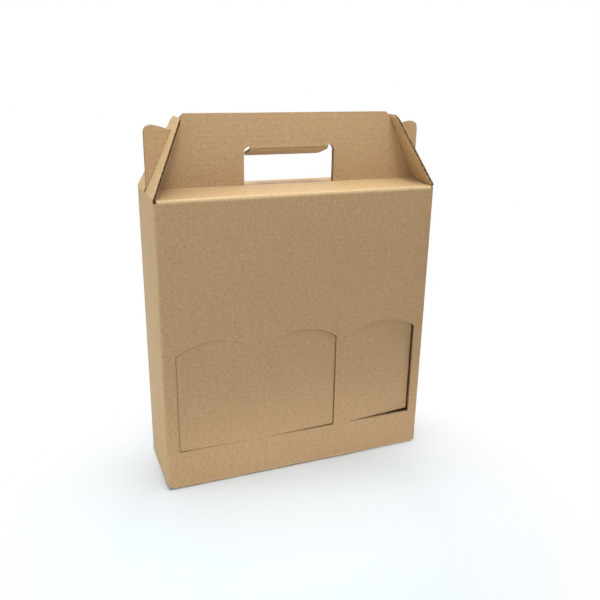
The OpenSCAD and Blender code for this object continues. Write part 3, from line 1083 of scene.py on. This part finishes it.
def floor_paper():
    """Floor seen from above: shadow near the box, white further out, and clear from below."""
    made = material("floor_paper")
    nodes = Nodes(made.node_tree)
    spot = nodes.add("ShaderNodeNewGeometry").outputs
    ends = {0: spot["Position"], 1: SHADOW_MIDDLE}
    reach = nodes.add("ShaderNodeVectorMath", ends, operation="DISTANCE").outputs["Value"]
    seen = nodes.add("ShaderNodeLightPath").outputs["Is Camera Ray"]
    white = nodes.math("MULTIPLY", nodes.span(reach, SHADOW_NEAR, SHADOW_FAR, 0.0, 1.0), seen)
    tone = nodes.mix(seen, FLOOR_BOUNCE, FLOOR_SEEN)
    lit = nodes.add("ShaderNodeBsdfDiffuse", {"Color": tone}).outputs[0]
    plain = nodes.add("ShaderNodeEmission", {"Color": WHITE, "Strength": 1.0}).outputs[0]
    clear = nodes.add("ShaderNodeBsdfTransparent").outputs[0]
    both = nodes.mix_shaders(spot["Backfacing"], nodes.mix_shaders(white, lit, plain), clear)
    nodes.add("ShaderNodeOutputMaterial", {"Surface": both})
    return made


def floor_under_box():
    """Floor in the shade of the box, painted dark grey as a shadow when seen from above, which lets
    light through from below for views of the bottom.
    """
    made = material("floor_under_box")
    nodes = Nodes(made.node_tree)
    upper = nodes.math("SUBTRACT", 1.0, nodes.add("ShaderNodeNewGeometry").outputs["Backfacing"])
    seen = nodes.math("MULTIPLY", upper, nodes.add("ShaderNodeLightPath").outputs["Is Camera Ray"])
    clear = nodes.add("ShaderNodeBsdfTransparent").outputs[0]
    # painted shadow: dark grey seen by the camera from above
    shade = nodes.add("ShaderNodeBsdfDiffuse", {"Color": FLOOR_PAINTED_SHADOW}).outputs[0]
    nodes.add("ShaderNodeOutputMaterial", {"Surface": nodes.mix_shaders(seen, clear, shade)})
    return made


ring = [(i, (i + 1) % 4, 4 + (i + 1) % 4, 4 + i) for i in range(4)]
stage("floor", rectangle(FLOOR_HALF) + rectangle(UNDER_HALF), ring, floor_paper())
stage("floor_under", rectangle(UNDER_HALF), [(0, 1, 2, 3)], floor_under_box())

# Light: a soft world that is white to the camera, and lamps
SKY = (1.0, 0.94, 0.93, 1)
SKY_ABOVE, SKY_BELOW = 0.2, 0.7
HORIZON = -0.02
STRIP_HEIGHT = 0.08


def studio_world():
    world = bpy.data.worlds.new("studio")
    bpy.context.scene.world = world
    world.use_nodes = True
    world.node_tree.nodes.clear()
    nodes = Nodes(world.node_tree)
    rays = nodes.add("ShaderNodeLightPath").outputs
    mirrored = nodes.math("MAXIMUM", rays["Is Glossy Ray"], rays["Is Transmission Ray"])
    seen = nodes.math("MAXIMUM", rays["Is Camera Ray"], mirrored)
    direction = nodes.add("ShaderNodeTexCoord").outputs["Generated"]
    height = nodes.add("ShaderNodeSeparateXYZ", {0: direction}).outputs[2]
    strength = nodes.span(height, HORIZON, 0.0, SKY_BELOW, SKY_ABOVE)
    soft = nodes.add("ShaderNodeBackground", {"Color": SKY, "Strength": strength}).outputs[0]
    plain = nodes.add("ShaderNodeBackground", {"Color": WHITE, "Strength": 1.0}).outputs[0]
    nodes.add("ShaderNodeOutputWorld", {"Surface": nodes.mix_shaders(seen, soft, plain)})


def lamp(name, place, target, width, height, watts, colour):
    """Soft light at a place in metres, turned to a target. Returns its settings."""
    data = bpy.data.lights.new(name, "AREA")
    data.shape = "ELLIPSE"
    data.size = width
    data.size_y = height
    data.energy = watts
    data.color = colour
    made = bpy.data.objects.new(name, data)
    made.location = place
    made.rotation_euler = (Vector(target) - Vector(place)).to_track_quat("-Z", "Y").to_euler()
    made.visible_camera = False
    bpy.context.scene.collection.objects.link(made)
    return data


def round_lamp(name, place, target, size, watts, colour):
    lamp(name, place, target, size, size, watts, colour)


def strip_lamp(name, place, target, width, beam, watts, colour):
    """Narrow light, with its beam angle in degrees."""
    data = lamp(name, place, target, width, STRIP_HEIGHT, watts, colour)
    data.spread = math.radians(beam)


studio_world()
middle = (0, 0, 0.25)
shoulder = (0, 0, 0.3)
front_top = (0.03, -0.05, 0.3)
front_foot = (0.05, -HALF_D * MM, 0.02)
handle_top = (0, 0, 0.405)
round_lamp("overhead", (0, 0.1, 2.4), middle, size=2.0, watts=43, colour=(0.98, 1.0, 0.93))
round_lamp("near_top", (0.03, -0.1, 0.95), front_top, size=0.4, watts=1.35, colour=(0.93, 1.0, 0.82))
round_lamp("left", (-1.9, 0.1, 1.7), middle, size=1.4, watts=26, colour=(0.87, 1.0, 0.87))
round_lamp("front", (-0.5, -2.3, 1.3), shoulder, size=1.6, watts=10.8, colour=(1.0, 1.0, 0.91))
round_lamp("back", (0.5, 2.3, 1.3), shoulder, size=1.6, watts=6.5, colour=(1.0, 1.0, 0.93))
strip_lamp("low_strip", (0.1, -0.9, 0.3), front_foot, width=0.6, beam=14,
           watts=0.047, colour=(0.93, 1.0, 0.98))
strip_lamp("top_strip", (0, -0.35, 0.85), handle_top, width=0.7, beam=20,
           watts=0.088, colour=(0.93, 1.0, 1.0))

# Camera at the photograph's place, turned by angles in degrees
CAMERA_PLACE = (-0.27852, -0.73509, 0.47097)
CAMERA_TURN = (70.9816, -0.9161, -21.5344)
SENSOR_WIDTH = 36.0
FOCAL_LENGTH = 41.309
camera_data = bpy.data.cameras.new("camera")
camera_data.sensor_width = SENSOR_WIDTH
camera_data.lens = FOCAL_LENGTH
camera = bpy.data.objects.new("camera", camera_data)
bpy.context.scene.collection.objects.link(camera)
turn = Euler([math.radians(angle) for angle in CAMERA_TURN])
camera.matrix_world = Matrix.LocRotScale(Vector(CAMERA_PLACE), turn, None)
bpy.context.scene.camera = camera
bpy.context.scene.view_settings.view_transform = "Standard"
